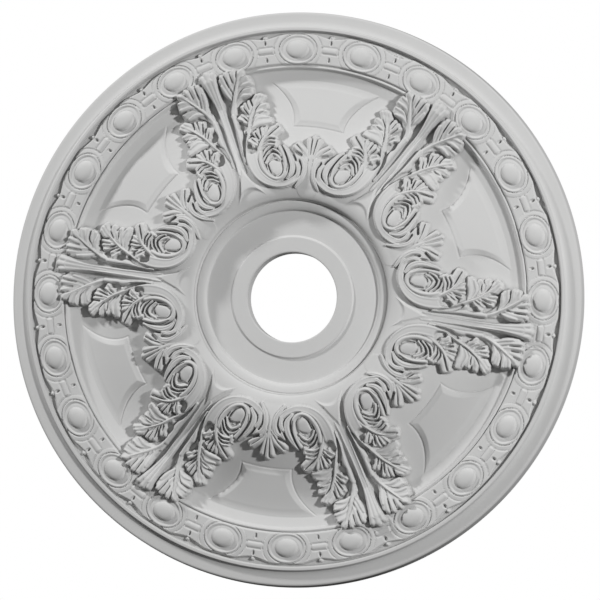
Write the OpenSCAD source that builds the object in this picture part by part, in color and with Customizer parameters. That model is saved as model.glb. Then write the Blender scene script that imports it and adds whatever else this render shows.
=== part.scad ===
// Ceiling rose, one cast piece: a rim, a band of oval beads, a sloped field with six
// raised panels and six acanthus clusters, and a dished centre round the fixture hole.
// It is modelled face up, in the middle of its back face, and turned over at the end,
// so that it hangs with the back at z = 0 and the ornament looking down. Sizes are in mm.

/* [Rim and bead band] */
// Outer diameter at the ceiling
outer_d = 720; // [600:1:900]
// Height of the plain outer edge
rim_h = 19; // [12:0.5:30]
// How much narrower the edge is at its top, on each side
rim_draft = 2.5; // [1:0.1:5]
// Width of the plain ring from the edge to the fillet
rim_w = 19; // [12:0.5:30]
// Height of the thin fillet inside the plain ring
fillet_h = 25.5; // [20:0.5:40]
// Width of that fillet
fillet_w = 7; // [3:0.5:10]
// Height of the bed that the beads stand on
bed_h = 18.5; // [14:0.5:30]
// Width of the bed
bed_w = 40.5; // [36:0.5:60]
// Height of the small lip at the inner side of the bed
lip_h = 21.5; // [18:0.5:30]
// Width of that lip
lip_w = 4; // [2:0.5:8]

/* [Beads] */
// Number of oval beads
bead_n = 24; // [12:6:36]
// Length of a bead's outer plate along the ring
bead_l = 48.2; // [40:0.5:60]
// Width of that plate across the ring
bead_w = 38.8; // [30:0.5:48]
// Width of the step between the outer and the inner plate
bead_step = 4.5; // [2:0.5:8]
// Height of the outer plate above the bed
plate_h = 4.5; // [2:0.1:8]
// Length of the domed middle
dome_l = 27; // [16:0.5:40]
// Width of the domed middle
dome_w = 22; // [12:0.5:30]
// Height of the domed middle above the bed
dome_h = 11; // [6:0.5:16]
// Length of the reels between the beads
reel_l = 17; // [8:0.5:26]
// Diameter of one reel
reel_d = 8; // [4:0.5:12]

/* [Field and centre] */
// Lowest height of the field, next to the bead band
valley_h = 10; // [5:0.5:20]
// Width of the cove between the bead band and the valley
cove_w = 14; // [8:0.5:40]
// Radius of the crest that the scrolls stand on
crest_r = 140; // [120:1:170]
// Height of the crest
crest_h = 42.5; // [30:0.5:60]
// Radius of the crease inside the crest
crease_r = 121; // [100:1:135]
// Height of the crease
crease_h = 34; // [24:0.5:50]
// Outer radius of the dish floor
dish_r = 108; // [80:1:125]
// Height of the dish floor
dish_h = 23.5; // [12:0.5:40]
// Height of the rounded ring round the dish
ring_h = 31; // [20:0.5:45]
// Outer radius of the flat hub ring
hub_r = 75; // [60:1:95]
// Height of the hub ring
hub_h = 27; // [15:0.5:45]
// Diameter of the hole for the fixture
hole_d = 112; // [60:1:140]

/* [Panels] */
// Number of clusters, and of panels between them
cluster_n = 6; // [4:1:8]
// Radius of a panel's outer edge
panel_out_r = 273; // [255:1:285]
// Radius of its inner edge
panel_in_r = 214; // [190:1:235]
// Half angle of the outer edge, degrees
panel_out_a = 14.7; // [8:0.1:18]
// Half angle of the inner edge, degrees
panel_in_a = 8.4; // [4:0.1:14]
// How far the curved sides bow inward
panel_bow = 8; // [0:0.5:12]
// Width of the bevelled border
panel_bevel = 8; // [3:0.5:14]
// Height of the panel above the field
panel_rise = 3; // [1:0.1:6]

/* [Leaf clusters] */
// Radius at the tip of the middle leaf
tip_r = 305; // [290:1:315]
// Radius where the two stems part
fork_r = 172; // [160:1:190]
// Height of the leaves above the field
leaf_h = 8; // [4:0.5:12]
// Height of the top leaves where they lie over the bead band
tip_h = 31; // [26:0.5:40]
// Distance of a scroll's middle from the cluster's centre line
scroll_x = 43; // [34:0.5:50]
// Radius of that middle from the rose's centre, measured along the line
scroll_r = 159; // [150:0.5:175]
// Radius of the scroll's loop
loop_r = 22; // [14:0.5:28]
// Radius of the round eye in the scroll
eye_r = 5.5; // [3:0.1:9]
// Half width of the stem at its widest
stem_w = 6.5; // [3:0.1:10]
// Length of the upper side leaf
leaf1_l = 76; // [50:1:95]
// Half width of that leaf
leaf1_w = 24; // [10:0.5:30]
// Length of the lower side leaf
leaf2_l = 62; // [40:1:80]
// Half width of that leaf
leaf2_w = 19; // [8:0.5:24]
// Length of the top leaf beside the middle one
leaf3_l = 62; // [40:1:80]
// Half width of that leaf
leaf3_w = 19; // [8:0.5:24]
// Half width of the middle leaf
mid_w = 11; // [6:0.5:16]
// Radius at the tips of the small fans between the clusters
fan_r = 205; // [190:1:210]
// Length of a petal of the fan
petal_l = 27; // [16:0.5:36]
// Half width of a petal
petal_w = 5.5; // [3:0.1:8]

/* [Hidden] */
$fn = 96;

outer_r = outer_d / 2;
fillet_r = outer_r - rim_draft - rim_w;
bed_r = fillet_r - fillet_w;
lip_r = bed_r - bed_w;
bead_r = bed_r - bed_w / 2;
cove_r = lip_r - lip_w;
valley_r = cove_r - cove_w;
slope_w = valley_r - crest_r;
sink = 4;
foot_z = 3;

// Height of the field at a radius: a cove, a valley, a slope that steepens and then eases
// to the crest, and a rounded shoulder down to the crease.
function slope_z(t) = valley_h + (crest_h - valley_h) * (1 - cos(180 * pow(t, 1.12))) / 2;
cove_steps = 4;
slope_steps = 7;
shoulder_steps = 3;
shoulder = [for (i = [0:shoulder_steps])
    let (a = 90 * i / shoulder_steps)
    [crease_r + (crest_r - crease_r) * (1 - cos(a)), crease_h + (crest_h - crease_h) * sin(a)]];
slope = [for (i = [1:slope_steps])
    let (t = i / slope_steps)
    [crest_r + slope_w * t, slope_z(1 - t)]];
cove = [for (i = [1:cove_steps])
    let (a = 90 * i / cove_steps)
    [valley_r + cove_w * sin(a), valley_h + (lip_h - 1 - valley_h) * (1 - cos(a))]];
field = concat(shoulder, slope, cove);
ground = concat(field, [[cove_r + 0.5, lip_h], [lip_r, lip_h], [lip_r + 0.5, bed_h], [bed_r, bed_h]]);

function ground_z(p) = lookup(norm(p), ground);
// The leaves follow the field, then lift to lie over the bead band.
function lift(p) = let (r = norm(p), t = max(0, min(1, (r - valley_r + 20) / (cove_r - valley_r + 22))))
    max(ground_z(p) * (1 - t), 0) + t * (tip_h - leaf_h);
function leaf_z(p, h) = (norm(p) < valley_r - 20 ? ground_z(p) : lift(p)) + h;

// A quadratic curve through a start, towards a middle point, to an end; and its direction.
function curve(p, t) = (1 - t) * (1 - t) * p[0] + 2 * t * (1 - t) * p[1] + t * t * p[2];
function along(p, t) = let (d = 2 * (1 - t) * (p[1] - p[0]) + 2 * t * (p[2] - p[1])) d / norm(d);
function left_of(d) = [-d[1], d[0]];
// Half width of a leaf along its length: narrow at the stalk, full past its middle, blunt at the end.
function swell(t) = pow(sin(180 * pow(0.06 + 0.9 * t, 0.85)), 0.8);

// A solid strip with a left edge, a raised middle and a right edge, standing in the ground.
// L, C and R are points in plan, hl, hc and hr their heights above the leaf ground.
module strip(L, C, R, hl, hc, hr) {
    n = len(C);
    pts = [for (i = [0:n - 1]) each [
        [L[i][0], L[i][1], leaf_z(L[i], hl[i])],
        [C[i][0], C[i][1], leaf_z(C[i], hc[i])],
        [R[i][0], R[i][1], leaf_z(R[i], hr[i])],
        [R[i][0], R[i][1], foot_z],
        [L[i][0], L[i][1], foot_z]]];
    sides = [for (i = [0:n - 2], k = [0:4])
        let (a = 5 * i + k, b = 5 * i + (k + 1) % 5)
        each [[a, a + 5, b + 5], [a, b + 5, b]]];
    ends = [[0, 1, 2, 3, 4], [for (k = [4:-1:0]) 5 * (n - 1) + k]];
    polyhedron(points = pts, faces = concat(sides, ends), convexity = 6);
}

// A lobed leaf along a curve, with its own width on each side and the same number of lobes.
module leaf(p, wl, wr, lobes, h) {
    n = 2 * lobes;
    t = [for (i = [0:n]) (i + (i % 2 == 1 ? 0.25 : 0)) / n];
    tip = [for (i = [0:n]) i % 2];
    w = [for (i = [0:n]) max(0.12, swell(t[i])) * (0.72 + 0.28 * tip[i])];
    C = [for (i = [0:n]) curve(p, t[i])];
    D = [for (i = [0:n]) along(p, t[i])];
    L = [for (i = [0:n]) C[i] + w[i] * wl * (left_of(D[i]) + 0.2 * tip[i] * D[i])];
    R = [for (i = [0:n]) C[i] + w[i] * wr * (-left_of(D[i]) + 0.2 * tip[i] * D[i])];
    he = [for (i = [0:n]) h * (0.4 + 0.2 * tip[i])];
    strip(L, C, R, he, [for (i = [0:n]) h * (1.05 - 0.25 * t[i] * t[i])], he);
}

// A smooth strip along a list of points, with its half widths.
module band(C, w, h) {
    n = len(C);
    D = [for (i = [0:n - 1])
        let (d = C[min(i + 1, n - 1)] - C[max(i - 1, 0)]) d / norm(d)];
    L = [for (i = [0:n - 1]) C[i] + w[i] * left_of(D[i])];
    R = [for (i = [0:n - 1]) C[i] - w[i] * left_of(D[i])];
    low = [for (i = [0:n - 1]) h * 0.5];
    strip(L, C, R, low, [for (i = [0:n - 1]) h], low);
}

// The body: one turned profile from the hole to the rim.
module body() {
    cove_up = [for (i = [0:3])
        let (a = 90 * i / 3)
        [fillet_r + 8 * (1 - sin(a)), rim_h + 1 + (fillet_h - 1.5 - rim_h) * (1 - cos(a))]];
    ring = [for (i = [0:3])
        let (a = 90 * i / 3)
        [dish_r + (crease_r - 1 - dish_r) * (1 - cos(a)), dish_h + 2 + (ring_h - dish_h - 2) * sin(a)]];
    rotate_extrude()
        polygon(concat(
            [[hole_d / 2, 0], [outer_r, 0], [outer_r - rim_draft, rim_h], [outer_r - rim_draft - 1.5, rim_h + 1]],
            cove_up,
            [[fillet_r, fillet_h], [bed_r + 0.7, fillet_h], [bed_r, bed_h], [lip_r + 0.5, bed_h]],
            [[lip_r, lip_h], [cove_r + 0.5, lip_h]],
            [for (i = [len(field) - 1:-1:0]) field[i]],
            [for (i = [3:-1:0]) ring[i]],
            [[dish_r, dish_h], [hub_r + 2, dish_h], [hub_r, hub_h], [hole_d / 2, hub_h]]));
}

// An oval outline.
function oval(l, w, n) = [for (i = [0:n - 1]) [w / 2 * cos(360 * i / n), l / 2 * sin(360 * i / n)]];

// One bead: an outer plate, a raised plate and a dome turned about the bead's long axis.
module bead() {
    translate([0, 0, bed_h - sink])
        linear_extrude(plate_h + sink)
            polygon(oval(bead_l, bead_w, 18));
    translate([0, 0, bed_h - 1])
        linear_extrude(plate_h + 2.2)
            polygon(oval(bead_l - 2 * bead_step, bead_w - 2 * bead_step, 16));
    translate([0, 0, bed_h + dome_h - dome_w / 2])
        rotate([90, 0, 0])
            rotate_extrude()
                polygon([for (i = [0:6]) let (a = 180 * i / 6 - 90) [dome_w / 2 * cos(a), dome_l / 2 * sin(a)]]);
}

// The link between two beads: a reel, with a winged bud on each side of it, clear of the beads.
module link() {
    gap = 2 * PI * bead_r / bead_n - bead_l;
    for (s = [-1, 1])
        translate([s * reel_d * 0.46, 0, bed_h + 1])
            rotate([90, 0, 0])
                cylinder(d = reel_d, h = min(reel_l, gap - 4), center = true);
    for (s = [-1, 1])
        translate([0, 0, bed_h - sink])
            linear_extrude(sink + plate_h * 0.85)
                polygon([[s * reel_d, -gap * 0.14], [s * bed_w * 0.3, -gap * 0.26], [s * bed_w * 0.44, -gap * 0.72],
                    [s * bed_w * 0.37, 0], [s * bed_w * 0.44, gap * 0.72], [s * bed_w * 0.3, gap * 0.26],
                    [s * reel_d, gap * 0.14]]);
}

// Half of a cluster: points are [radius along the centre line, distance from it].
module half_cluster() {
    o = [scroll_r, scroll_x];
    base1 = [fork_r + 26, stem_w + 2];
    base2 = [fork_r - 2, stem_w + 15];
    base3 = [fork_r + 68, 5];
    // the stem: down beside the centre line, then round the scroll
    stem = concat(
        [[fork_r + 72, 3.2], [fork_r + 48, 5.2], [fork_r + 24, 6.8]],
        [for (i = [0:4])
            let (a = 110 + 150 * i / 4, q = loop_r + 9.5 - 3 * i / 4)
            o + q * [-sin(a - 90) * 0.98, -cos(a - 90)]]);
    band(stem, [3, 4.4, 5.8, stem_w, 6, 5, 4, 2.6], leaf_h);
    // the scroll's loop, winding in to the eye
    turn = [for (i = [0:8])
        let (a = 60 + 400 * i / 8, q = loop_r * (1 - 0.6 * i / 8))
        o + q * [cos(a) * 1.12, -sin(a) * 0.85]];
    band(turn, [for (i = [0:8]) 3.6 - 0.17 * i], leaf_h + 1);
    // the three side leaves
    leaf([base1, base1 + leaf1_l * [0.32, 0.22], base1 + leaf1_l * [0.76, 0.68]], leaf1_w * 0.8, leaf1_w, 4, leaf_h);
    leaf([base2, base2 + leaf2_l * [0.42, 0.16], base2 + leaf2_l * [0.56, 0.84]], leaf2_w, leaf2_w * 0.9, 3, leaf_h);
    leaf([base3, base3 + leaf3_l * [0.36, 0.16], base3 + leaf3_l * [0.82, 0.6]], leaf3_w * 0.65, leaf3_w, 3, leaf_h);
    // the leaf that curls out from under the scroll
    curl = [[scroll_r - 28, scroll_x + 2], [scroll_r - 22, scroll_x + 18], [scroll_r - 10, scroll_x + 28], [scroll_r + 10, scroll_x + 31]];
    band(curl, [4, 6, 6, 2.5], leaf_h * 0.8);
}

// A small fan of petals between two clusters.
module fan() {
    foot = [fan_r - petal_l, 0];
    band([[crest_r + 4, 0], [crest_r + 18, 0], foot + [4, 0]], [3, 4, 5], leaf_h * 0.7);
    for (a = [-72, -34, 0, 34, 72])
        let (d = [cos(a), sin(a)], l = petal_l * (a == 0 ? 0.92 : 1))
        band([foot + d * 3, foot + d * l * 0.75, foot + d * l], [petal_w * 0.3, petal_w, petal_w * 0.5], leaf_h * 0.9);
}

// The round eyes of a cluster's two scrolls.
module eyes() {
    o = [scroll_r - 1, scroll_x - 1];
    for (s = [-1, 1])
        translate([o[0], s * o[1], ground_z(o) + 2])
            sphere(eye_r);
}

// A three-sided plaque in the fork of the two stems.
module spur() {
    a = [fork_r - 6, 0];
    b = [crest_r - 6, 15];
    c = [crest_r - 6, -15];
    m = (a + b + c) / 3;
    polyhedron(points = [
        [a[0], a[1], ground_z(a) + 1], [b[0], b[1], ground_z(b) + 1], [c[0], c[1], ground_z(c) + 1],
        [m[0], m[1], ground_z(m) + 4],
        [a[0], a[1], foot_z], [b[0], b[1], foot_z], [c[0], c[1], foot_z]],
        faces = [[0, 3, 1], [1, 3, 2], [2, 3, 0], [4, 5, 6], [0, 1, 5, 4], [1, 2, 6, 5], [2, 0, 4, 6]]);
}

// A raised panel: a flat top that follows the field, and bevelled sides that run down into it.
module panel() {
    ns = 4;
    nt = 3;
    function side(r) = let (t = (r - panel_in_r) / (panel_out_r - panel_in_r))
        panel_in_a + (panel_out_a - panel_in_a) * t - 4 * t * (1 - t) * panel_bow * 57.3 / r;
    function spot(i, j, e) = let (
        r = panel_in_r + e + (panel_out_r - panel_in_r - 2 * e) * j / nt,
        a = (side(r) - 57.3 * e / r) * (2 * i / ns - 1))
        r * [cos(a), sin(a)];
    rows = (ns + 1) * (nt + 1);
    function lay(e, dz) = [for (j = [0:nt], i = [0:ns]) let (p = spot(i, j, e)) [p[0], p[1], ground_z(p) + dz]];
    pts = concat(lay(-panel_bevel * 0.5, -panel_rise * 0.5), lay(panel_bevel, panel_rise));
    function cell(i, j) = j * (ns + 1) + i;
    under_f = [for (j = [0:nt - 1], i = [0:ns - 1])
        let (a = cell(i, j), b = cell(i + 1, j), c = cell(i + 1, j + 1), d = cell(i, j + 1))
        each [[c, b, a], [d, c, a]]];
    top_f = [for (f = under_f) [f[2] + rows, f[1] + rows, f[0] + rows]];
    loop = concat([for (i = [0:ns - 1]) cell(i, 0)], [for (j = [0:nt - 1]) cell(ns, j)],
        [for (i = [ns:-1:1]) cell(i, nt)], [for (j = [nt:-1:1]) cell(0, j)]);
    m = len(loop);
    wall_f = [for (k = [0:m - 1])
        let (a = loop[k], b = loop[(k + 1) % m])
        each [[a, b, b + rows], [a, b + rows, a + rows]]];
    polyhedron(points = pts, faces = concat(under_f, top_f, wall_f), convexity = 6);
}

// All six clusters and the fans between them, as one carved piece.
module carving() {
    resize([0, 0, 0])
        for (k = [0:cluster_n - 1]) {
            rotate([0, 0, 360 / cluster_n * k]) {
                half_cluster();
                mirror([0, 1, 0])
                    half_cluster();
                leaf([[fork_r + 60, 0], [fork_r + 90, 0], [tip_r, 0]], mid_w, mid_w, 3, leaf_h + 1.5);
                spur();
            }
            rotate([0, 0, 360 / cluster_n * (k + 0.5)])
                fan();
        }
}

module ceiling_rose() {
    color([0.86, 0.86, 0.85])
        rotate([180, 0, 0])
            union() {
                body();
                for (k = [0:cluster_n - 1])
                    rotate([0, 0, 360 / cluster_n * (k + 0.5)])
                        panel();
                carving();
                for (k = [0:cluster_n - 1])
                    rotate([0, 0, 360 / cluster_n * k])
                        eyes();
                for (k = [0:bead_n - 1])
                    rotate([0, 0, 360 / bead_n * (k + 0.5)])
                        translate([bead_r, 0, 0])
                            bead();
                for (k = [0:bead_n - 1])
                    rotate([0, 0, 360 / bead_n * k])
                        translate([bead_r, 0, 0])
                            link();
            }
}

ceiling_rose();
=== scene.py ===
# Ceiling rose, hung face down: the cast relief is one height above the ceiling worked out over
# radius and angle, then cut into closed rings and six leaf sectors.
import math
import bpy
import numpy as np
from mathutils import Matrix, Vector


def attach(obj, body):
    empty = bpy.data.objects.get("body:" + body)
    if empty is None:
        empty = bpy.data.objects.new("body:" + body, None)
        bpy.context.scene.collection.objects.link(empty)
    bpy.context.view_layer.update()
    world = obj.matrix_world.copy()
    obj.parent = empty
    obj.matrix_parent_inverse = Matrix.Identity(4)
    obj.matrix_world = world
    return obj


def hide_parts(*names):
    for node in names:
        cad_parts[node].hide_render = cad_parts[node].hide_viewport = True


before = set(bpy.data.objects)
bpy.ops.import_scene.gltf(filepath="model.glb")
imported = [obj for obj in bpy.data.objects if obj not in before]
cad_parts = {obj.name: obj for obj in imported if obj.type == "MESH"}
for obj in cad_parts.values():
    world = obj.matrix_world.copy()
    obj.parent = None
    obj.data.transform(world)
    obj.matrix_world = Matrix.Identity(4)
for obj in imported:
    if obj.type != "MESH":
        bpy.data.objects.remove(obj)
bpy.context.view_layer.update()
print("frame loaded")

mm = 0.001  # every size below is in millimetres

bodySize = {
    "holeR": 56, "hubR": 75, "hubH": 25.8,
    "dishR": 108, "dishH": 23.5, "ringR": 119.2, "ringH": 31,
    "creaseR": 121, "creaseH": 34, "crestR": 140, "crestH": 42.5,
    "valleyR": 273, "valleyH": 10, "coveR": 287, "lipR": 291, "lipH": 20.4,
    "bedR": 331.4, "bedH": 18.5, "filletR": 338.4, "filletH": 25.5,
    "rimR": 357.5, "rimH": 19, "outerR": 360, "edgeSoft": 0.55,
}


# Turned profile: straight runs, quarter turns and a cosine slope joined in order of radius,
# then averaged over a short width so that each edge is as soft as a cast one.
def profileHeight(r):
    b = bodySize
    q = np.linspace(0, np.pi / 2, 12)
    t = np.linspace(0, 1, 60)[1:]
    slope = b["valleyH"] + (b["crestH"] - b["valleyH"]) * (1 - np.cos(np.pi * (1 - t) ** 1.12)) / 2
    runs = [
        ([b["holeR"] - 9, b["hubR"], b["hubR"] + 2, b["dishR"]],
         [b["hubH"], b["hubH"], b["dishH"], b["dishH"]]),
        (b["dishR"] + 0.3 + (b["ringR"] - b["dishR"] - 0.3) * (1 - np.cos(q)),
         b["dishH"] + 1.5 + (b["ringH"] - b["dishH"] - 1.5) * np.sin(q)),
        ([b["ringR"] + 0.3, b["creaseR"] - 0.4], [b["ringH"] - 1.2, b["ringH"] - 1.2]),
        (b["creaseR"] + (b["crestR"] - b["creaseR"]) * (1 - np.cos(q)),
         b["creaseH"] + (b["crestH"] - b["creaseH"]) * np.sin(q)),
        (b["crestR"] + (b["valleyR"] - b["crestR"]) * t, slope),
        (b["valleyR"] + 0.01 + (b["coveR"] - b["valleyR"]) * np.sin(q[1:]),
         b["valleyH"] + (b["lipH"] - 1.5 - b["valleyH"]) * (1 - np.cos(q[1:]))),
        ([b["coveR"] + 0.4, b["lipR"], b["lipR"] + 0.6, b["bedR"], b["bedR"] + 0.4, b["filletR"] - 0.3],
         [b["lipH"], b["lipH"], b["bedH"], b["bedH"], b["filletH"], b["filletH"]]),
        (b["filletR"] + 8 * (1 - np.sin(q[::-1])), b["rimH"] + 1 + 4 * (1 - np.cos(q[::-1]))),
        ([b["rimR"] - 2, b["rimR"], b["outerR"]], [b["rimH"] + 1, b["rimH"], 0]),
    ]
    radii = np.concatenate([np.asarray(a, float) for a, _ in runs])
    highs = np.concatenate([np.asarray(h, float) for _, h in runs])
    soft = b["edgeSoft"]
    return sum(np.interp(np.asarray(r) + k * soft, radii, highs) for k in (-1, -0.5, 0, 0.5, 1)) / 5


# Larger of two heights, rounded over k where they meet.
def softMax(a, b, k):
    h = np.clip(0.5 + 0.5 * (a - b) / k, 0, 1)
    return b + (a - b) * h + k * h * (1 - h)


# Smooth curve through a few points: cubic pieces whose slopes are the chords of the neighbours.
def smoothCurve(points, perSpan=7):
    p = np.asarray(points, float)
    if len(p) == 2:
        return p[0] + (p[1] - p[0]) * np.linspace(0, 1, 4)[:, None]
    ends = np.vstack([2 * p[0] - p[1], p, 2 * p[-1] - p[-2]])
    t = np.linspace(0, 1, perSpan, endpoint=False)[:, None]
    out = []
    for a, b, c, d in zip(ends[:-3], ends[1:-2], ends[2:-1], ends[3:]):
        squared = (2 * a - 5 * b + 4 * c - d) * t**2
        cubed = (3 * b - a - 3 * c + d) * t**3
        out.append(0.5 * (2 * b + (c - a) * t + squared + cubed))
    return np.vstack(out + [p[-1:]])


# Distance of every grid point from a curve, and how far along the curve its nearest point lies (0 to 1).
def nearCurve(u, v, curve):
    steps = np.hypot(*np.diff(curve, axis=0).T)
    total = np.concatenate([[0], np.cumsum(steps)]) / steps.sum()
    best = np.full(u.shape, 1e9)
    where = np.zeros(u.shape)
    for k in range(len(curve) - 1):
        ax, ay = curve[k]
        dx, dy = curve[k + 1] - curve[k]
        t = np.clip(((u - ax) * dx + (v - ay) * dy) / (dx * dx + dy * dy), 0, 1)
        d = np.hypot(u - ax - t * dx, v - ay - t * dy)
        closer = d < best
        best = np.where(closer, d, best)
        where = np.where(closer, total[k] + t * (total[k + 1] - total[k]), where)
    return best, where


strokeSide = 3.5  # how far a stroke's sides reach past its width
carveReach = 2.6  # a cut's reach, in widths
leastCut = 0.05  # a cut shallower than this leaves the relief alone
underRelief = -6.0  # height of the empty relief, below every surface it is joined to


# Adds one stroke to a relief. Its top is crowned across its width, may have a groove down the
# middle or raised edges, and its sides fall steeply; width and height change along the curve.
def stroke(field, points, width, height, crown=0.25, groove=0.0, rims=0.0, blend=0.7, steep=5.0):
    curve = smoothCurve(points)
    width, height = np.atleast_1d(width).astype(float), np.atleast_1d(height).astype(float)
    reach = width.max() + strokeSide
    lo, hi = curve.min(0) - reach, curve.max(0) + reach
    u, v = field["u"], field["v"]
    mask = (u > lo[0]) & (u < hi[0]) & (v > lo[1]) & (v < hi[1])
    if not mask.any():
        return
    d, s = nearCurve(u[mask], v[mask], curve)
    w = np.interp(s, np.linspace(0, 1, len(width)), width)
    h = np.interp(s, np.linspace(0, 1, len(height)), height)
    c = np.minimum(d / w, 1)
    top = h - crown * h * c**2.2 - groove * np.exp(-(c / 0.3) ** 2) + rims * np.exp(-((c - 0.78) / 0.2) ** 2)
    top = top - steep * np.maximum(d - w, 0)
    field["h"][mask] = softMax(field["h"][mask], top, blend)


# Cuts a soft groove or pit along a curve: the height falls by a bell of the distance.
def carve(field, points, width, depth, floor=-3.0):
    curve = smoothCurve(points)
    width, depth = np.atleast_1d(width).astype(float), np.atleast_1d(depth).astype(float)
    reach = carveReach * width.max()
    lo, hi = curve.min(0) - reach, curve.max(0) + reach
    u, v = field["u"], field["v"]
    mask = (u > lo[0]) & (u < hi[0]) & (v > lo[1]) & (v < hi[1])
    if not mask.any():
        return
    d, s = nearCurve(u[mask], v[mask], curve)
    w = np.interp(s, np.linspace(0, 1, len(width)), width)
    cut = np.interp(s, np.linspace(0, 1, len(depth)), depth) * np.exp(-((d / w) ** 3))
    old = field["h"][mask]
    field["h"][mask] = np.where(cut > leastCut, np.maximum(old - cut, np.minimum(old, floor)), old)


# One side of a cluster. Points are (distance from its centre line, radius along that line).
# A leaf lists its lobes as (points, half width), the flutes on them as (points, half width, share of
# it left at the tip), then the cuts as (points, width, depth), and the eye drilled at its foot.
leafSize = {"edgeH": 9.6, "ribH": 10.0, "bladeH": 5.0, "lobeH": 8.0, "crown": 0.32}

upperLeaf = {
    "rib": [(13.6, 188), (15, 196), (18.5, 203.5), (24, 213), (30, 224.6), (36, 233.2), (43.6, 242.4),
            (51, 248.6)],
    "ribWidth": [2.3, 2.2, 2.2, 2.1, 1.5, 1.4, 1.2, 0.8],
    "blade": [1.5, 2, 4, 8, 9.5, 9.5, 9, 5],
    "lobes": [
        ([(28, 223.6), (23.6, 229), (20.6, 233.4)], 4.0), ([(32, 229.6), (30, 239), (28.8, 245.4)], 4.0),
        ([(35.4, 233), (35.8, 243), (37, 248)], 3.2), ([(37, 236), (45, 245), (51, 249.6)], 6.4),
        ([(38, 231.6), (47, 237.4), (54, 237.6)], 4.2), ([(34.6, 226), (44, 230), (51.4, 228)], 4.2),
        ([(31, 219.4), (42, 221), (52.6, 217)], 5.4)],
    "flutes": [
        ([(36.5, 233), (44, 244), (52.5, 251.5)], 3.5, 0.9),
        ([(38, 236), (41.5, 246.5), (48.5, 253)], 3.6, 0.8),
        ([(40, 236.6), (49, 244.2), (56, 249.4)], 3.3, 0.8),
        ([(38, 231), (47, 238.4), (56, 238.6)], 3.5, 0.6),
        ([(35, 226.6), (44, 231.8), (53.6, 229.4)], 3.3, 0.6),
        ([(32, 221.4), (42, 225.2), (53.4, 221.2)], 3.2, 0.5),
        ([(29, 216.4), (40, 218), (55, 213.8)], 4.3, 0.5),
        ([(28, 222.6), (22, 228), (18, 234)], 2.8, 0.8),
        ([(29.5, 225), (25.6, 231), (22.8, 236.6)], 2.4, 0.8),
        ([(31.4, 228), (29, 238), (26, 246.6)], 2.6, 0.8),
        ([(33.4, 230), (32.4, 240), (31.2, 249)], 2.6, 0.8),
        ([(35.4, 232.4), (35.6, 242), (36.6, 250)], 2.7, 0.8)],
    "cuts": [
        ([(24, 232.2), (27.4, 225.4)], 0.8, 3.6), ([(27.8, 244.2), (31.2, 233.4)], 1.0, 5.5),
        ([(33.6, 249), (33.6, 240)], 0.7, 3),
        ([(39.2, 252.4), (39.6, 243)], 0.9, 7), ([(18.6, 240.6), (24.2, 240.4), (28.2, 234)], 1.1, 5),
        ([(40, 236.4), (49, 242)], 0.8, 3.4), ([(40, 230.8), (51, 230.8)], 0.9, 3.6),
        ([(20.6, 212.4), (27.6, 222), (33, 229.4)], 1.0, 3.2)],
    "eye": ([(18, 226.6), (17.6, 221.6), (21.4, 220.4)], 2.7),
}
lowerLeaf = {
    "rib": [(22.6, 175), (27.4, 182.4), (33, 190.2), (38.4, 196.2), (47, 201.6), (58, 205)],
    "ribWidth": [2.6, 2.3, 1.9, 1.6, 1.3, 0.8],
    "blade": [2, 4, 8, 10, 9.5, 6],
    "lobes": [
        ([(30, 191.6), (26, 197), (23.6, 200.8)], 4.2), ([(34.6, 196), (33.2, 203.4), (32.6, 207.6)], 3.9),
        ([(39.6, 199), (42.4, 204.6), (44.4, 207.4)], 3.9), ([(43, 198), (53, 201.8), (59.4, 203.2)], 5.4),
        ([(37, 193), (46, 193.4), (51.6, 190)], 3.4), ([(34, 188.4), (43, 188.8), (50.6, 185)], 3.4)],
    "flutes": [
        ([(42, 199.4), (51.6, 205), (60.5, 206.6)], 3.1, 0.7),
        ([(43, 196.4), (53.6, 199), (61, 200.6)], 5.2, 0.8),
        ([(38, 195), (46.4, 196.2), (54, 192.4)], 2.5, 0.6),
        ([(35.4, 191.4), (45, 191.8), (54.6, 186.8)], 2.4, 0.6),
        ([(33, 187), (42, 187.8), (51, 183.4)], 2.3, 0.6),
        ([(29.6, 190.8), (25, 195.4), (21, 200.6)], 2.8, 0.8),
        ([(31.4, 192.8), (28.4, 198.2), (26, 203)], 2.4, 0.8),
        ([(33.6, 195), (31.8, 202.4), (29.8, 208.6)], 2.4, 0.8),
        ([(35.8, 197), (35.4, 204), (35.8, 211)], 2.3, 0.8),
        ([(38.4, 198.4), (39.8, 205), (41, 210.6)], 2.3, 0.8),
        ([(41, 199.6), (44.6, 205.6), (47, 209.6)], 2.6, 0.7)],
    "cuts": [
        ([(45, 198.6), (53, 201.6), (60.6, 204.6)], 1.2, 5), ([(31.2, 207.4), (33.4, 198.4)], 1.2, 7),
        ([(38.4, 210), (37.4, 203)], 0.8, 4.5),
        ([(22, 204.8), (26.4, 205.2), (29.6, 202)], 1.1, 5), ([(25.4, 201), (28.6, 195.6)], 0.7, 3),
        ([(38.4, 193), (46, 194), (51.6, 190.8)], 1.0, 5),
        ([(36, 189.2), (44, 189.8), (50.6, 186)], 1.0, 5), ([(28, 186), (33, 193), (38, 198)], 0.9, 2)],
    "eye": ([(18.8, 194.6), (19.6, 187.6), (23.4, 187.2)], 2.9),
}
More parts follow.
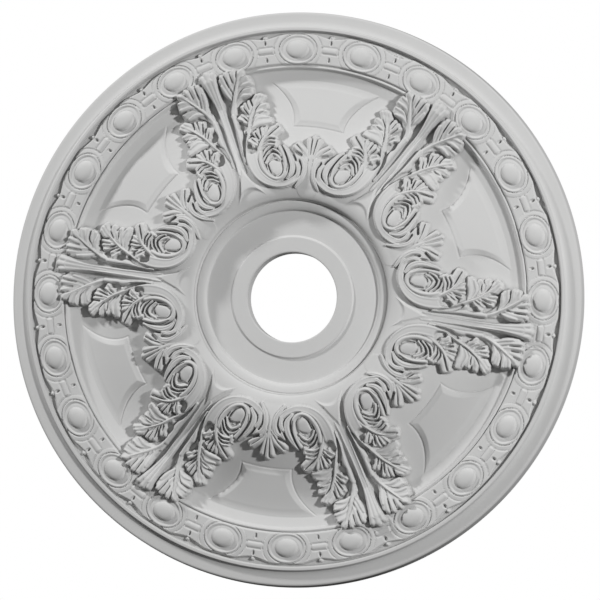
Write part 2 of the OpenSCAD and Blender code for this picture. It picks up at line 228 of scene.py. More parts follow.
topLeaf = {
    "rib": [(12.5, 238), (15.5, 248), (20.2, 257), (27, 268), (34.6, 279), (41, 286.6)],
    "ribWidth": [2.4, 2.3, 2.1, 1.6, 1.3, 0.8],
    "blade": [2, 5, 8.5, 9.5, 8, 4],
    "lobes": [
        ([(18.6, 260), (16, 272), (14.8, 285)], 4.2), ([(24.6, 267.6), (25, 279), (27.6, 287)], 4.8),
        ([(30, 275), (36, 282.4), (40, 285.4)], 4.8), ([(27, 268.6), (36, 273.4), (44, 274.6)], 4.8),
        ([(22, 258.6), (32, 261.4), (42, 261)], 4.8)],
    "flutes": [
        ([(17.6, 259), (14.6, 268), (12.8, 279)], 2.8, 0.8),
        ([(20.6, 262), (17.6, 274), (16.4, 290)], 3.2, 0.9),
        ([(23.8, 266.4), (22.4, 279), (23, 291.4)], 3.2, 0.9),
        ([(27.8, 271.4), (30.2, 282), (32.6, 290.6)], 3.3, 0.8),
        ([(31.4, 277), (37.6, 284.4), (42, 287.6)], 3.5, 0.8),
        ([(28.6, 271), (37, 277.4), (46, 279)], 3.2, 0.6),
        ([(25.6, 266.2), (35, 270.6), (47, 271)], 3.2, 0.6),
        ([(22.6, 261), (32, 264.8), (45.6, 264)], 3.2, 0.6),
        ([(20.6, 255.4), (30.6, 259), (41.6, 257.2)], 3.2, 0.5)],
    "cuts": [
        ([(19.8, 289.6), (20.4, 276)], 0.9, 4.5), ([(27.4, 290), (26.6, 279)], 0.9, 4.5),
        ([(37, 289), (33.6, 283)], 0.8, 3.5),
        ([(26, 262), (36, 267.4), (43, 267.4)], 0.8, 2.4)],
    "eye": ([(10.6, 262), (11.2, 255.8)], 1.9),
}


# A leaf: a blade along its rib, broad lobes on it, crowned flutes on those that meet in sharp valleys
# and rise to their tips, cuts between them, a rib on top and a drilled eye.
def leaf(field, plan, lift=1.0):
    s = leafSize
    stroke(field, plan["rib"], plan["blade"], s["bladeH"] * lift, crown=0.25, blend=1.0)
    high = s["edgeH"] * lift
    for points, half in plan["lobes"]:
        low = s["lobeH"] * lift
        stroke(field, points, [0.6 * half, 0.9 * half, half, 0.9 * half], [0.75 * low, 0.92 * low, low, low],
               crown=0.16, blend=0.4, steep=5)
    for k, (points, half, tip) in enumerate(plan["flutes"]):
        step = 0.45 * (k % 2)
        stroke(field, points, [0.4 * half, 0.85 * half, half, tip * half],
               [0.76 * high - step, 0.88 * high - step, high - step, high - step],
               crown=s["crown"], blend=0.3, steep=6)
    for points, width, depth in plan["cuts"]:
        carve(field, points, width, [0.5 * depth, depth, depth, 0.6 * depth])
    stroke(field, plan["rib"], plan["ribWidth"], [0.74 * s["ribH"] * lift, s["ribH"] * lift, high],
           crown=0.3, blend=0.4)
    carve(field, *plan["eye"], 20, floor=-9)


ornamentSize = {"fanH": 9.0, "plaqueH": 2.6}


def stemsAndScroll(field):
    # stem: from the fan, under the scroll and up beside the centre line, where it parts in two
    stroke(field, [(84, 160), (79, 149), (71.4, 140), (60, 133.6), (47, 131.8), (36, 135),
                   (26.4, 142.6), (19.8, 153), (17.2, 164), (17.2, 176), (18.8, 187), (21, 195)],
           [2.2, 2.8, 3.4, 3.8, 3.8, 3.8, 4.4, 5.2, 5.8, 6.6, 6.8, 4.6],
           [6.5, 6.5, 5.5, 4.8, 4.8, 5.4, 6.4, 7, 7.4, 7.8, 8, 7.6],
           crown=0.1, rims=0.8, blend=0.8)
    # strand that climbs to the top leaf
    stroke(field, [(8.6, 176), (8.8, 190), (10.4, 203), (12.4, 215), (12.4, 228), (12.6, 240)],
           [0.8, 1, 2.4, 3.3, 2.9, 2.5], [6, 7.6, 8.2, 8.6, 8.8, 9], crown=0.2, blend=0.5)
    # raised ring of the scroll, with a second one outside it
    stroke(field, [(43, 150), (44, 162), (46, 176)], [12, 12, 8], 3.4, crown=-0.25, blend=1.2)
    stroke(field, [(30, 181), (27, 170), (27.4, 158), (31.6, 147), (39.6, 140.8), (48.6, 143),
                   (54, 152), (56.2, 164), (55, 178)],
           [2.6, 2.7, 2.7, 2.4, 2.2, 2.4, 2.4, 2.2, 2.6],
           [8.8, 8.8, 8.6, 8.2, 8, 8.4, 8.6, 8.8, 9.4], crown=0.3, blend=0.4)
    stroke(field, [(50, 137.4), (58.4, 143), (63, 152), (63.4, 164), (59.4, 178)], [1.8, 3.2, 3.8, 3.4, 1.8],
           [6, 7.4, 8.4, 8.8, 8.6], crown=0.3, groove=1.0, blend=0.35)
    carve(field, [(52, 145.6), (57.6, 157), (58.8, 170), (57.4, 180)], [0.7, 0.9, 1.2, 1], [2, 5, 7, 4])
    # lobes over one another inside it, with slits under them, and a smooth boss
    stroke(field, [(31, 176), (37.6, 181.4), (46, 185)], [1, 2.2, 1.8], [7, 8, 7.6], crown=0.3, blend=0.3)
    for points, half, high in [
            ([(30.6, 170.6), (37, 177), (44, 179.4)], 2.0, 7.6),
            ([(46, 179.4), (50.6, 174), (53.6, 166.6)], 1.9, 7.6),
            ([(31.6, 165.6), (37, 171.6), (43, 173.6)], 2.0, 7.0),
            ([(44, 173.6), (48, 169.6), (50.6, 163)], 1.9, 7.0),
            ([(53.6, 187), (51, 181)], 3.0, 9.4)]:
        stroke(field, points, [0.6 * half, half, 0.9 * half], high, crown=0.35, blend=0.3)
    carve(field, [(31.6, 174), (38, 180), (45, 182)], [0.8, 1.3, 1.2], [3, 8, 8])
    carve(field, [(32, 168.4), (37.6, 174.4), (44, 176.8), (48.4, 173.6), (52, 168)],
          [0.8, 1.2, 1.4, 1.1, 0.8], [2.5, 5, 8, 7, 3])
    stroke(field, [(41.6, 152), (42, 159.4)], [7.2, 7.6], [7.2, 7.0], crown=0.16, blend=0.5)
    carve(field, [(34, 161), (34.4, 152), (37.6, 145.6)], [1.1, 1.1, 0.9], [3, 4.4, 2.4])
    carve(field, [(34.6, 164.4), (40, 166), (45, 164.4), (48.4, 160)], [0.8, 0.9, 1.4, 0.8], [2, 3, 5, 2])
    # leaves that stand outside the scroll
    for path, wide, high in [
            ([(62, 137), (68.6, 144), (72, 152.6), (70.6, 161)], [1.4, 3, 3.6, 2.2], [5.4, 7.4, 8.4, 8.6]),
            ([(69.6, 140.6), (76, 149), (79, 158), (74, 171)], [1.4, 2.8, 3.6, 3.4], [5.4, 7.2, 8.4, 8.8])]:
        stroke(field, path, wide, high, crown=0.34, groove=1.1, blend=0.35)
    carve(field, [(61, 139), (66.6, 146.4), (68, 158), (66.6, 170)], [0.6, 0.9, 1.3, 1.6], [2, 4, 8, 10])


def centreLeaf(field):
    # ribbon along the centre line, flat and low at its foot, with thin raised edges
    stroke(field, [(0, 166), (0, 190), (0, 210), (0, 236), (0, 260), (0, 288)],
           [5.6, 4.6, 3.8, 3.9, 4.3, 5.6], [0.3, 1.6, 4, 7, 8.4, 8.6], crown=0, rims=1.2, blend=0.5)
    for path, wide, high in [([(0, 240), (0, 278), (0, 298.5)], [1.2, 3, 4.4], [7.6, 9.6, 10.2]),
                             ([(3, 262), (4.8, 282), (6.6, 296.5)], [1.0, 2.2, 3.6], [8.6, 9.6, 9.9])]:
        stroke(field, path, wide, high, crown=0.25, blend=0.3)
    # dark channels on either side of the ribbon and of the strand
    carve(field, [(5.8, 178), (6.6, 194), (7.3, 211), (7.5, 226), (8.4, 238)],
          [1.2, 1.6, 1.9, 1.8, 1.1], [5, 16, 16, 14, 5], floor=-6)
    carve(field, [(6, 230), (4.9, 245), (4.8, 264)], 0.8, [4, 4, 2])
    carve(field, [(9.8, 184), (12.6, 197), (15.4, 204.4), (20.2, 211)], [0.9, 1.7, 2.3, 1.5],
          [5, 16, 17, 9], floor=-7)
    # plaque in the fork: a low three-sided hip with an arched foot
    u, v = np.abs(field["u"]), field["v"]
    side = (15.5 * (174.5 - v) / 38 - u) * 0.93
    foot = v - (141 - 0.036 * u * u)
    plaque = np.minimum(ornamentSize["plaqueH"], 0.8 * np.minimum(side, foot))
    field["h"] = softMax(field["h"], np.where((v > 120) & (v < 178), plaque, underRelief), 0.5)
    carve(field, [(3.6, 166), (8, 152), (11, 144)], 0.8, [0.4, 1.2, 0.8], floor=-1)


# Small fan between two clusters, in its own frame: (distance from the gap's line, radius along it).
def fan(field):
    high = ornamentSize["fanH"]
    stroke(field, [(0, 134), (0, 148), (0, 160), (0, 176)], [12, 5.4, 3.0, 2.6],
           [0.4, 3, 6, 7.4], crown=0.2, blend=1.4)
    for path, wide, low in [
            ([(0, 168), (0, 186), (0, 199.6)], [1.6, 3, 3.4], 0),
            ([(2, 172), (4.8, 187), (6.4, 196)], [1.2, 2.8, 3.1], 0.3),
            ([(3, 172), (9.4, 181.6), (19, 188.4)], [1.4, 3.2, 3.6], 0.2),
            ([(3, 167), (12, 177), (22.4, 185)], [1.4, 3.2, 3.2], 0.5)]:
        stroke(field, path, wide, [0.74 * high, 0.92 * high, high - low], crown=0.36, blend=0.3)
    for path, wide in [([(14, 135), (7.6, 148), (5.8, 160), (9, 169), (16, 172.6)], [1.2, 2.6, 3, 3.4, 2.6]),
                       ([(17, 141), (12.8, 151), (13.4, 159), (17.6, 165)], [1.2, 2.4, 2.8, 2])]:
        stroke(field, path, wide, [4.2, 6.4, 7.8, 0.94 * high], crown=0.34, groove=1.0, blend=0.35)
    carve(field, [(2.9, 200), (2.5, 188), (1.5, 178)], 0.8, [3.6, 3, 1])
    carve(field, [(20.6, 187.6), (13, 180.8), (7, 173.6)], 0.8, [3.6, 3, 1])
    carve(field, [(13, 175.4), (19, 177.6)], 1.5, 12)
    carve(field, [(10, 150), (10, 160), (13.6, 167.6)], [0.8, 1.0, 1.4], [2, 5, 7])


panelSize = {"outR": 273, "inR": 214, "outA": 14.75, "inA": 8.35, "bow": 8.5,
             "bevel": 7.2, "outBevel": 9.8, "rise": 3.2, "edge": 0.6}


# A raised panel's height over the field, from the distances to its four edges: two arcs about the
# rose's centre and two sides bowed inwards as a parabola of the radius. A small step at the outline
# with a fine groove outside it, then a bevel that climbs to the flat top. The top stands highest a
# little inside its middle and falls away to both ends as part of a sine.
def panelHeight(gapAngle, r):
    p = panelSize
    t = np.clip((r - p["inR"]) / (p["outR"] - p["inR"]), 0, 1)
    half = p["inA"] + (p["outA"] - p["inA"]) * t - np.degrees(4 * t * (1 - t) * p["bow"] / r)
    side = np.radians(half - np.abs(gapAngle)) * r
    inside = np.minimum(np.minimum(p["outR"] - r, r - p["inR"]), side)
    climb = np.minimum((p["outR"] - r) / p["outBevel"], np.minimum(r - p["inR"], side) / p["bevel"])
    step = np.clip(inside / 0.8, 0, 1) - np.exp(-((inside + 0.9) / 0.7) ** 2)
    top = p["rise"] * np.maximum(np.sin(np.pi * (0.9 * t + 0.13)), 0)
    return top * np.clip(climb, 0, 1) + p["edge"] * step


beadSize = {
    "count": 24, "ringR": 310.2, "long": 24.1, "wide": 19.4, "plateH": 4.7,
    "domeLong": 13.9, "domeWide": 11.1, "domeH": 9.4,
    "reelLong": 8.8, "reelWide": 3.9, "reelH": 5.5, "reelGroove": 1.2,
    "collar": 5.4, "collarH": 5.0, "recess": 0.5, "webEnd": 14, "webFlare": 5.2, "webSpan": 21,
    "knobOut": 16.6, "knobR": 2.5, "pitOut": 9.8, "pitDeep": 5, "dropOut": -11.6, "dropDeep": 3.2,
}


# Height above the bed. Two ellipses about the nearest bead give its plate and its dome. A collar
# follows the plate's edge towards the link. Between two collars lie a short rod and a plain web,
# which ends outside in a curve, with a knob at its middle and a shallow recess beyond it.
def beadBand(angle, r):
    b = beadSize
    pitch = 360 / b["count"]
    fromLink = angle - pitch * np.round(angle / pitch)
    across = np.abs(np.radians(fromLink) * b["ringR"])
    out = r - b["ringR"]
    along = np.pi * b["ringR"] / b["count"] - across
    ellipse = np.hypot(along / b["long"], out / b["wide"])
    beyond = np.hypot(along, out) * (1 - 1 / np.maximum(ellipse, 1e-6))
    plate = np.interp(-beyond, [-0.7, 0, 0.8, 2.8, 3.9, 5.2, 8, 10], [1.2, 2.4, 5.1, 5.2, 4.0, 4.2, 4.8, 5.1])
    dome = np.hypot(along / b["domeLong"], out / b["domeWide"])
    cap = b["plateH"] + (b["domeH"] - b["plateH"]) * np.sqrt(np.clip(1 - dome**2.2, 0, 1))
    bead = np.where(dome < 1, np.maximum(cap, plate), plate) - 0.5 * np.exp(-((dome - 1.04) / 0.05) ** 2)
    # collar and web
    turn = np.arctan2(np.abs(out) * b["long"] / b["wide"], along)
    reach = b["collar"] * np.clip(2.4 * np.cos(turn), 0, 1)
    outerSide = b["collarH"] + 3.2 * (reach - beyond)
    collar = np.minimum(b["collarH"] - 0.12 * beyond, np.minimum(2.8 + 3 * beyond, outerSide))
    web = np.where(out > 0, 5.1 - 0.02 * across, 4.3 + 0.06 * np.minimum(out + 4, 0))
    web = np.minimum(web, 2.7 + 1.2 * np.clip(beyond - reach, 0, 2))
    head = b["webEnd"] + b["webFlare"] * np.minimum(across / b["webSpan"], 1) ** 1.3
    h = np.maximum(np.maximum(collar, web), 2.8)
    h = np.where(out > 0, np.minimum(h, np.maximum(5.1 + 3.5 * (head - out), b["recess"])), h)
    # rod with a groove along each side
    rod = b["reelH"] - 2.4 + 2.4 * np.sqrt(np.clip(1 - (out / (b["reelWide"] + 0.3)) ** 2, 0, 1))
    rod = rod - 1.2 * np.clip(across - b["reelLong"], 0, 1)
    h = np.where(np.abs(out) < b["reelWide"], np.where(across < b["reelLong"] + 1, rod, h), h)
    beside = np.exp(-((np.abs(out) - b["reelWide"] - 0.5) / 0.7) ** 2)
    h = h - b["reelGroove"] * beside * (across < b["reelLong"])
    # knob, pit and the drop on the inner side
    knob = np.hypot(across, out - b["knobOut"]) / b["knobR"]
    h = np.maximum(h, np.where(knob < 1, 1.6 + 3.6 * np.sqrt(np.clip(1 - knob**2, 0, 1)), b["recess"]))
    h = h - b["pitDeep"] * np.exp(-(np.hypot(across / 1.2, (out - b["pitOut"]) / 2.6) ** 3))
    drop = np.hypot(across / 1.5, (out - b["dropOut"]) / 2.8)
    lip = 0.7 * np.exp(-((drop - 1.35) / 0.25) ** 2)
    h = h - np.where(drop < 2, b["dropDeep"] * np.exp(-(drop**3)) - lip, 0)
    return np.where(beyond < 0, bead, h)


print("shapes described")


# The whole carving on one half sector (from a cluster's centre line to the middle of the gap);
# the other half and the other five clusters are the same numbers mirrored and repeated.
clusters = 6
sector = 360 // clusters
stepAngle = 0.2
halfAngle = np.arange(0, sector / 2 + stepAngle / 2, stepAngle)
bandRows = np.concatenate([np.arange(121, 141, 1.25), np.arange(141, 286.5, 0.85),
                           np.arange(286.5, 292.5, 0.75), np.arange(292.5, 333, 0.95), [333.4, 334.4]])


# The leaves' base leaves the field liftFrom inside the valley and is at liftH after liftSpan more.
carvedSize = {"liftFrom": 20, "liftSpan": 36, "liftH": 21.5, "topH": 50.8, "lipGroove": 2.4}


def carvedHeight(rows, angle):
    r, a = np.meshgrid(rows, np.radians(angle), indexing="ij")
    b, c = bodySize, carvedSize
    ground = profileHeight(r) + panelHeight(np.degrees(a) - sector / 2, r)
    band = b["bedH"] + beadBand(np.degrees(a), r)
    onBed = (r > b["lipR"] + 0.2) & (r < b["bedR"] + 1)
    ground = np.where(onBed, band, ground) - c["lipGroove"] * np.exp(-((r - b["lipR"] - 0.4) / 0.9) ** 2)
    # leaves follow the field, then lift to lie over the lip and the beads
    lift = np.clip((r - b["valleyR"] + c["liftFrom"]) / c["liftSpan"], 0, 1)
    base = profileHeight(np.minimum(r, b["valleyR"])) * (1 - lift) + c["liftH"] * lift
    field = {"u": r * np.sin(a), "v": r * np.cos(a), "h": np.full(r.shape, underRelief)}
    stemsAndScroll(field)
    leaf(field, topLeaf, lift=0.95)
    leaf(field, upperLeaf)
    leaf(field, lowerLeaf)
    centreLeaf(field)
    fromGap = np.radians(sector / 2) - a
    gap = {"u": r * np.sin(fromGap), "v": r * np.cos(fromGap), "h": field["h"]}
    fan(gap)
    top = softMax(ground, base + gap["h"], 0.5)
    return np.minimum(top, c["topH"])


around = round(360 / stepAngle)
fold = np.abs((np.arange(around) * stepAngle + sector / 2) % sector - sector / 2)
carved = carvedHeight(bandRows, halfAngle)[:, np.rint(fold / stepAngle).astype(int)]
print("relief worked out:", carved.shape, "highest", round(float(carved.max()), 2), "mm")


# Normal at every point of a height over radius and angle: up, less the slopes along the two.
def slopesToNormals(rows, angle, high):
    dr = np.gradient(high, rows, axis=0)
    da = (np.roll(high, -1, 1) - np.roll(high, 1, 1)) / (2 * (angle[1] - angle[0])) / rows[:, None]
    c, s = np.cos(angle), np.sin(angle)
    n = np.stack([-dr * c + da * s, -dr * s - da * c, np.ones_like(dr)], -1)
    return n / np.linalg.norm(n, axis=-1, keepdims=True)


# weights of the two blurs that set the painted shade, and the depth left unpainted
paintedShadeWeights = {"fine": 0.2, "broad": 0.3, "open": 0.9}


# How deep each point lies below its surroundings, from two blurs of the height: 0 open, 1 in a cut. It marks
# where shade is painted into the primer's colour.
def paintedShadeMask(high):
    def blurred(z, n):
        for _ in range(3):
            z = (np.roll(z, n, 1) + z + np.roll(z, -n, 1)) / 3
            pad = np.pad(z, ((n, n), (0, 0)), mode="edge")
            z = (pad[: -2 * n] + z + pad[2 * n:]) / 3
        return z
    fine, broad = blurred(high, 1) - high, blurred(high, 3) - high
    return np.clip(paintedShadeWeights["fine"] * fine + paintedShadeWeights["broad"] * (broad - paintedShadeWeights["open"]), 0, 1)


# A closed piece from a height over radius and angle. The grid's rows go from the hole's side to
# the rim, then round the flat back; a sector also gets an end at each side.
def castPiece(name, rows, angle, high, normals, paintedShade, closed, floor=0.0):
    nr, na = high.shape
    rr = np.concatenate([[rows[0]], rows, [rows[-1]]])
    zz = np.vstack([np.full(na, floor), high, np.full(na, floor)])
    if abs(high[-1].max() - floor) < 1e-6:
        rr, zz = rr[:-1], zz[:-1]
    n = len(rr)
    x = rr[:, None] * np.cos(angle)
    y = rr[:, None] * np.sin(angle)
    points = np.stack([x, -y, -zz], -1).reshape(-1, 3) * mm  # turned over, so that it hangs
    i, j = np.meshgrid(np.arange(n), np.arange(na if closed else na - 1), indexing="ij")
    i2, j2 = (i + 1) % n, (j + 1) % na
    quads = np.stack([i * na + j, i2 * na + j, i2 * na + j2, i * na + j2], -1).reshape(-1, 4)
    onTop = ((i >= 1) & (i + 1 <= nr)).ravel()
    loops = quads.ravel()
    starts = np.arange(len(quads)) * 4
    totals = np.full(len(quads), 4)
    if not closed:
        first = (np.arange(n)[::-1] * na).ravel()
        last = np.arange(n) * na + na - 1
        loops = np.concatenate([loops, first, last])
        starts = np.concatenate([starts, [len(quads) * 4, len(quads) * 4 + n]])
        totals = np.concatenate([totals, [n, n]])
        onTop = np.concatenate([onTop, [False, False]])
    mesh = bpy.data.meshes.new(name)
    mesh.vertices.add(len(points))
    mesh.vertices.foreach_set("co", points.ravel())
    mesh.loops.add(len(loops))
    mesh.loops.foreach_set("vertex_index", loops.astype(np.int32))
    mesh.polygons.add(len(starts))
    mesh.polygons.foreach_set("loop_start", starts.astype(np.int32))
    mesh.polygons.foreach_set("loop_total", totals.astype(np.int32))
    mesh.update(calc_edges=True)
    mesh.validate()
    flat = np.zeros((len(mesh.polygons), 3), np.float32)
    mesh.polygons.foreach_get("normal", flat.ravel())
    perLoop = np.repeat(flat, totals, axis=0)
    turned = np.zeros((len(points), 3))
    turned[na: na * (nr + 1)] = (normals * [1, -1, -1]).reshape(-1, 3)
    topLoops = np.repeat(onTop, totals)
    perLoop[topLoops] = turned[loops[topLoops]]
    mesh.polygons.foreach_set("use_smooth", np.ones(len(starts), bool))
    mesh.normals_split_custom_set(perLoop.tolist())
    # painted shade: each point's depth below its surroundings, kept for the primer to darken its colour
    shade = np.zeros(len(points), np.float32)
    shade[na: na * (nr + 1)] = paintedShade.ravel()
    layer = mesh.attributes.new("paintedShade", "FLOAT", "POINT")
    layer.data.foreach_set("value", shade)
    onBack = np.zeros(len(starts), np.int32)
    onBack[(i == n - 1).ravel().nonzero()[0]] = 1
    mesh.materials.append(primer)
    mesh.materials.append(foamBack)
    mesh.polygons.foreach_set("material_index", onBack)
    piece = bpy.data.objects.new(name, mesh)
    bpy.context.scene.collection.objects.link(piece)
    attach(piece, "root")
    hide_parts("ceiling_rose")
    print(name, len(mesh.polygons), "faces")
    return piece


# The near-black and its largest share are painted shade, mixed into the primer where the relief lies deep;
# the dish and rim get a smaller share.
finish = {
    "primer": (0.66, 0.66, 0.655), "paintedShadeColour": (0.1, 0.1, 0.102), "paintedShadeAmount": 0.25, "dishPaintedShade": 0.15,
    "roughness": 0.62, "roughSpread": 0.06, "specular": 0.0, "grain": 0.12,
    "grainScale": 900, "grainDeep": 0.0006,
    "back": (0.70, 0.685, 0.64), "backRoughness": 0.8, "backGrainScale": 420, "backGrainDeep": 0.0012,
}


# Group: fine spatter of sprayed primer, as a height and as a small change of tone.
def grainGroup():
    group = bpy.data.node_groups.new("primerGrain", "ShaderNodeTree")
    for label, kind, value in (("Scale", "NodeSocketFloat", 900.0), ("Spread", "NodeSocketFloat", 0.02)):
        group.interface.new_socket(label, in_out="INPUT", socket_type=kind).default_value = value
    for label in ("Height", "Tone", "Wear"):
        group.interface.new_socket(label, in_out="OUTPUT", socket_type="NodeSocketFloat")
    add, link = group.nodes.new, group.links.new
    entry, leave, where = add("NodeGroupInput"), add("NodeGroupOutput"), add("ShaderNodeTexCoord")
    fine, broad = add("ShaderNodeTexNoise"), add("ShaderNodeTexNoise")
    fine.inputs["Detail"].default_value = 3
    broad.inputs["Scale"].default_value = 14
    broad.inputs["Detail"].default_value = 2
    link(where.outputs["Object"], fine.inputs["Vector"])
    link(where.outputs["Object"], broad.inputs["Vector"])
    link(entry.outputs["Scale"], fine.inputs["Scale"])
    link(fine.outputs["Fac"], leave.inputs["Height"])
    tone = add("ShaderNodeMapRange")
    link(broad.outputs["Fac"], tone.inputs["Value"])
    tone.inputs["From Min"].default_value = 0.3
    tone.inputs["From Max"].default_value = 0.7
    low = add("ShaderNodeMath")
    low.operation = "SUBTRACT"
    low.inputs[0].default_value = 1
    link(entry.outputs["Spread"], low.inputs[1])
    link(low.outputs[0], tone.inputs["To Min"])
    tone.inputs["To Max"].default_value = 1
    link(tone.outputs["Result"], leave.inputs["Tone"])
    link(broad.outputs["Fac"], leave.inputs["Wear"])
    return group


grain = grainGroup()


# Matt sprayed primer; when asked, shade is painted into its colour, darker where the relief lies deep in a
# cut.
def primerMaterial(name, colour, roughness, grainScale, bumpDistance, paintShade):
    material = bpy.data.materials.new(name)
    material.use_nodes = True
    nodes, link = material.node_tree.nodes, material.node_tree.links.new
    shader = nodes["Principled BSDF"]
    spatter = nodes.new("ShaderNodeGroup")
    spatter.node_tree = grain
    spatter.inputs["Scale"].default_value = grainScale
    toned = nodes.new("ShaderNodeMix")
    toned.data_type = "RGBA"
    toned.blend_type = "MULTIPLY"
    toned.inputs["Factor"].default_value = 1
    # painted shade: the primer's colour is mixed towards a near-black by each point's depth in the relief
    if paintShade:
        cut = nodes.new("ShaderNodeAttribute")
        cut.attribute_name = "paintedShade"
        amount = nodes.new("ShaderNodeMath")
        amount.operation = "MULTIPLY"
        amount.use_clamp = True
        amount.inputs[1].default_value = finish["paintedShadeAmount"]
        link(cut.outputs["Fac"], amount.inputs[0])
        mix = nodes.new("ShaderNodeMix")
        mix.data_type = "RGBA"
        mix.inputs["A"].default_value = (*colour, 1)
        mix.inputs["B"].default_value = (*finish["paintedShadeColour"], 1)
        link(amount.outputs[0], mix.inputs["Factor"])
        link(mix.outputs["Result"], toned.inputs["A"])
    else:
        toned.inputs["A"].default_value = (*colour, 1)
    link(spatter.outputs["Tone"], toned.inputs["B"])
    link(toned.outputs["Result"], shader.inputs["Base Color"])
    rough = nodes.new("ShaderNodeMapRange")
    link(spatter.outputs["Wear"], rough.inputs["Value"])
    rough.inputs["To Min"].default_value = roughness - finish["roughSpread"]
    rough.inputs["To Max"].default_value = roughness + finish["roughSpread"]
    link(rough.outputs["Result"], shader.inputs["Roughness"])
    shader.inputs["Specular IOR Level"].default_value = finish["specular"]
    bump = nodes.new("ShaderNodeBump")
    bump.inputs["Strength"].default_value = finish["grain"]
    bump.inputs["Distance"].default_value = bumpDistance
    link(spatter.outputs["Height"], bump.inputs["Height"])
    link(bump.outputs["Normal"], shader.inputs["Normal"])
    return material


f = finish
primer = primerMaterial("whitePrimer", f["primer"], f["roughness"], f["grainScale"], f["grainDeep"], True)
foamBack = primerMaterial("bareBack", f["back"], f["backRoughness"], f["backGrainScale"],
                          f["backGrainDeep"], False)

# The rings and sectors. The clusters end on the row where the bead band begins, and the dish's last
# rows and the rim's first ones overlap the carved pieces by half a millimetre.
fullAngle = np.radians(np.arange(around) * stepAngle)
carvedNormals = slopesToNormals(bandRows, fullAngle, carved)
# where shade is painted into the primer's colour, from how deep each point lies
carvedPaintedShade = paintedShadeMask(carved)
bandStart = 287.2
split = int(np.searchsorted(bandRows, bandStart))
castPiece("beadBand", bandRows[split:], fullAngle, carved[split:], carvedNormals[split:],
          carvedPaintedShade[split:], True)
perSector = around // clusters
for k in range(clusters):
    step = np.arange(perSector + 1) + perSector * k - perSector // 2
    take = step % around
    castPiece(f"leafCluster{k + 1}", bandRows[:split + 1], np.radians(step * stepAngle),
              carved[:split + 1, take], carvedNormals[:split + 1, take], carvedPaintedShade[:split + 1, take],
              False)

plainSteps = 480
plainAngle = np.radians(np.arange(plainSteps) * (360 / plainSteps))
dishRows = np.concatenate([[56, 56.3, 56.8], np.arange(58, 74, 2), np.arange(74, 78.5, 0.4),
                           np.arange(79, 107, 2), np.arange(107, 121.6, 0.5)])
rimRows = np.concatenate([np.arange(333.9, 341, 0.5), np.arange(341, 355, 1.4), np.arange(355, 360.01, 0.25)])
for name, rows in (("dish", dishRows), ("rim", rimRows)):
    high = profileHeight(rows)
    if name == "dish":
        high[:3] = bodySize["hubH"] - np.array([0.6, 0.25, 0.04])
    else:
        high[rows < 334.1] = bodySize["filletH"] - 0.5
        high[-1] = 0
    high = np.repeat(high[:, None], plainSteps, 1)
    # with a weak painted shade in their hollows
    castPiece(name, rows, plainAngle, high, slopesToNormals(rows, plainAngle, high),
              paintedShadeMask(high) * finish["dishPaintedShade"], True)

stageSize = {"floorZ": -4.8, "floorHalf": 9.0, "floorColour": (0.82, 0.82, 0.82),
             "floorRoughness": 0.9, "fill": 0.035}
# each lamp: name, angle round the rose, height above its face in degrees, distance, size in metres, watts
lamps = [
    ("keyLamp", 23, 40, 3.1, 0.24, 68),
    ("sideLamp", 145, 20, 3.1, 0.3, 65),
    ("backLamp", 200, -88, 3.0, 0.4, 45),
]
cameraSet = {
    "distance": 3.3, "tilt": 9.3, "tiltAngle": -13.4, "roll": 98.8, "aim": (0.0083, 0.0015, 0.012),
    "lens": 159, "sensor": 36, "near": 0.05, "far": 60,
}


# A direction from the rose's face: angle round it, height above the face, turned over as it hangs.
def fromFace(angle, height, distance):
    a, e = math.radians(angle), math.radians(height)
    return np.array([math.cos(e) * math.cos(a), -math.cos(e) * math.sin(a), -math.sin(e)]) * distance


floorMesh = bpy.data.meshes.new("floor")
half, floorZ = stageSize["floorHalf"], stageSize["floorZ"]
corners = [(-half, -half, floorZ), (half, -half, floorZ), (half, half, floorZ), (-half, half, floorZ)]
floorMesh.from_pydata(corners, [], [(0, 1, 2, 3)])
floorPiece = bpy.data.objects.new("floor", floorMesh)
bpy.context.scene.collection.objects.link(floorPiece)
paleFloor = bpy.data.materials.new("paleFloor")
paleFloor.use_nodes = True
floorShader = paleFloor.node_tree.nodes["Principled BSDF"]
floorShader.inputs["Base Color"].default_value = (*stageSize["floorColour"], 1)
floorShader.inputs["Roughness"].default_value = stageSize["floorRoughness"]
floorMesh.materials.append(paleFloor)

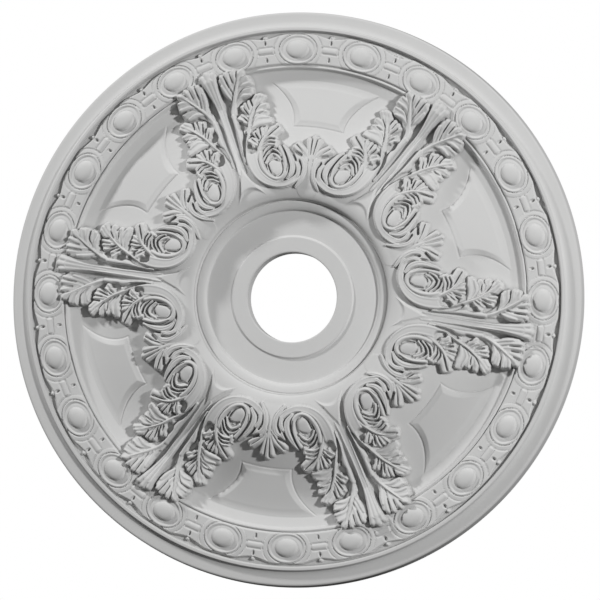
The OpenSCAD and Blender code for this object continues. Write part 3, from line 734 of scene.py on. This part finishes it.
for name, angle, height, distance, size, watts in lamps:
    data = bpy.data.lights.new(name, "AREA")
    data.shape, data.size, data.energy = "DISK", size, watts
    lamp = bpy.data.objects.new(name, data)
    bpy.context.scene.collection.objects.link(lamp)
    place = fromFace(angle, height, distance)
    lamp.location = place
    lamp.rotation_mode = "QUATERNION"
    lamp.rotation_quaternion = Vector(-place).to_track_quat("-Z", "Y")

world = bpy.data.worlds.new("studio")
bpy.context.scene.world = world
world.use_nodes = True
nodes, link = world.node_tree.nodes, world.node_tree.links.new
nodes.clear()
plain = nodes.new("ShaderNodeBackground")
white = nodes.new("ShaderNodeBackground")
mix = nodes.new("ShaderNodeMixShader")
out = nodes.new("ShaderNodeOutputWorld")
rays = nodes.new("ShaderNodeLightPath")
plain.inputs["Color"].default_value = (1, 1, 1, 1)
plain.inputs["Strength"].default_value = stageSize["fill"]
white.inputs["Color"].default_value = (1, 1, 1, 1)
white.inputs["Strength"].default_value = 1
seen = rays.outputs["Is Camera Ray"]
for label in ("Is Glossy Ray", "Is Transmission Ray"):
    either = nodes.new("ShaderNodeMath")
    either.operation = "ADD"
    either.use_clamp = True
    link(seen, either.inputs[0])
    link(rays.outputs[label], either.inputs[1])
    seen = either.outputs[0]
link(seen, mix.inputs["Fac"])
link(plain.outputs[0], mix.inputs[1])
link(white.outputs[0], mix.inputs[2])
link(mix.outputs[0], out.inputs["Surface"])

c = cameraSet
cameraData = bpy.data.cameras.new("camera")
cameraData.lens = c["lens"]
cameraData.sensor_width = c["sensor"]
cameraData.clip_start = c["near"]
cameraData.clip_end = c["far"]
camera = bpy.data.objects.new("camera", cameraData)
bpy.context.scene.collection.objects.link(camera)
aim = np.array([c["aim"][0], c["aim"][1], -c["aim"][2]])
back = fromFace(c["tiltAngle"], 90 - c["tilt"], 1.0)
up = fromFace(c["roll"], 0, 1.0)
right = np.cross(up, back)
right /= np.linalg.norm(right)
up = np.cross(back, right)
turn = np.eye(4)
turn[:3, :3] = np.stack([right, up, back], 1)
turn[:3, 3] = aim + back * c["distance"]
camera.matrix_world = Matrix(turn.tolist())
bpy.context.scene.camera = camera
bpy.context.scene.view_settings.view_transform = "Standard"

print("stage, lamps and camera set")
